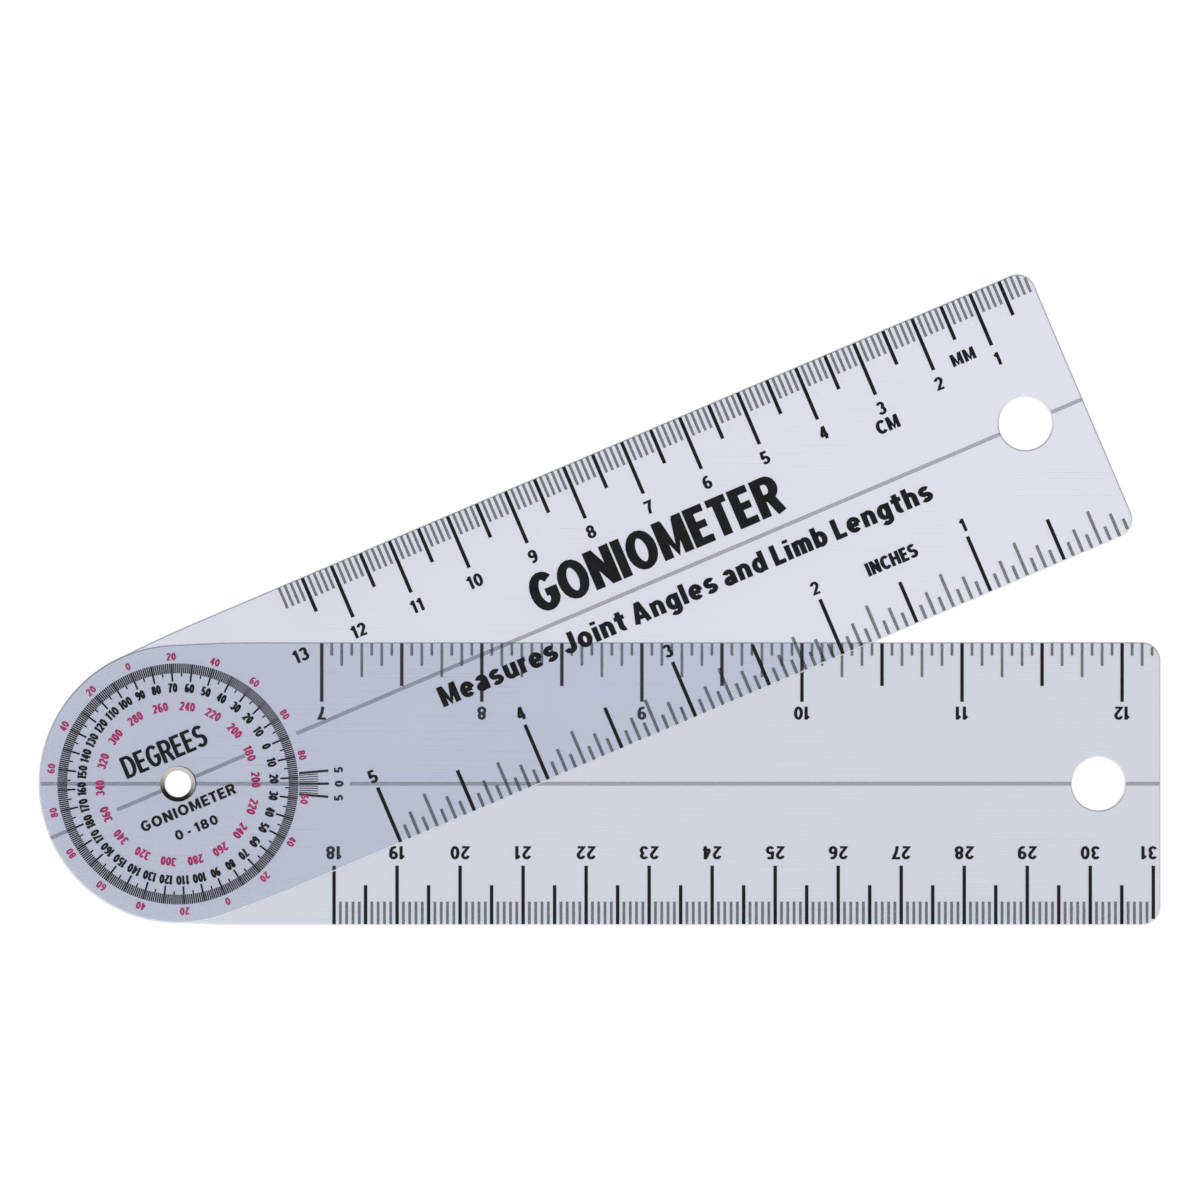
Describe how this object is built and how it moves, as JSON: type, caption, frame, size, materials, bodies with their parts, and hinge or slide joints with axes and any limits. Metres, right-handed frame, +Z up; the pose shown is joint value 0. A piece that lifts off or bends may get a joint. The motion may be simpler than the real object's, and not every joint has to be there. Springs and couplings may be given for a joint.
{
  "type": "goniometer",
  "caption": "Clear plastic goniometer: two flat ruler arms, one round at the pivot with a printed angle dial, turning on a hollow metal eyelet.",
  "frame": {"origin": "middle of the lower arm's flat underside, half-way between its round end and its square end", "axes": "+X along the lower arm from the pivot to its square end, +Z up through the sheets towards the upper arm, +Y across the lower arm towards the side the upper arm opens to"},
  "size_m": [0.178, 0.1033, 0.0031],
  "materials": {
    "clear_plastic": "clear rigid sheet with a faint blue tint, polished faces and die-cut edges",
    "eyelet_metal": "nickel-plated brass, satin, slightly worn on the rolled rims",
    "black_ink": "black screen-printed ink for scales and numerals",
    "magenta_ink": "magenta screen-printed ink for the second ring of dial numerals"
  },
  "bodies": {
    "fixed_arm": {"lower_arm": "clear_plastic", "pivot_eyelet": "eyelet_metal"},
    "moving_arm": {"upper_arm": "clear_plastic"}
  },
  "joints": [
    {"name": "arm_pivot", "type": "hinge", "parent": "fixed_arm", "child": "moving_arm", "pos_m": [-0.0669, 0, 0.0018], "axis": [0, 0, 1], "continuous": true}
  ]
}
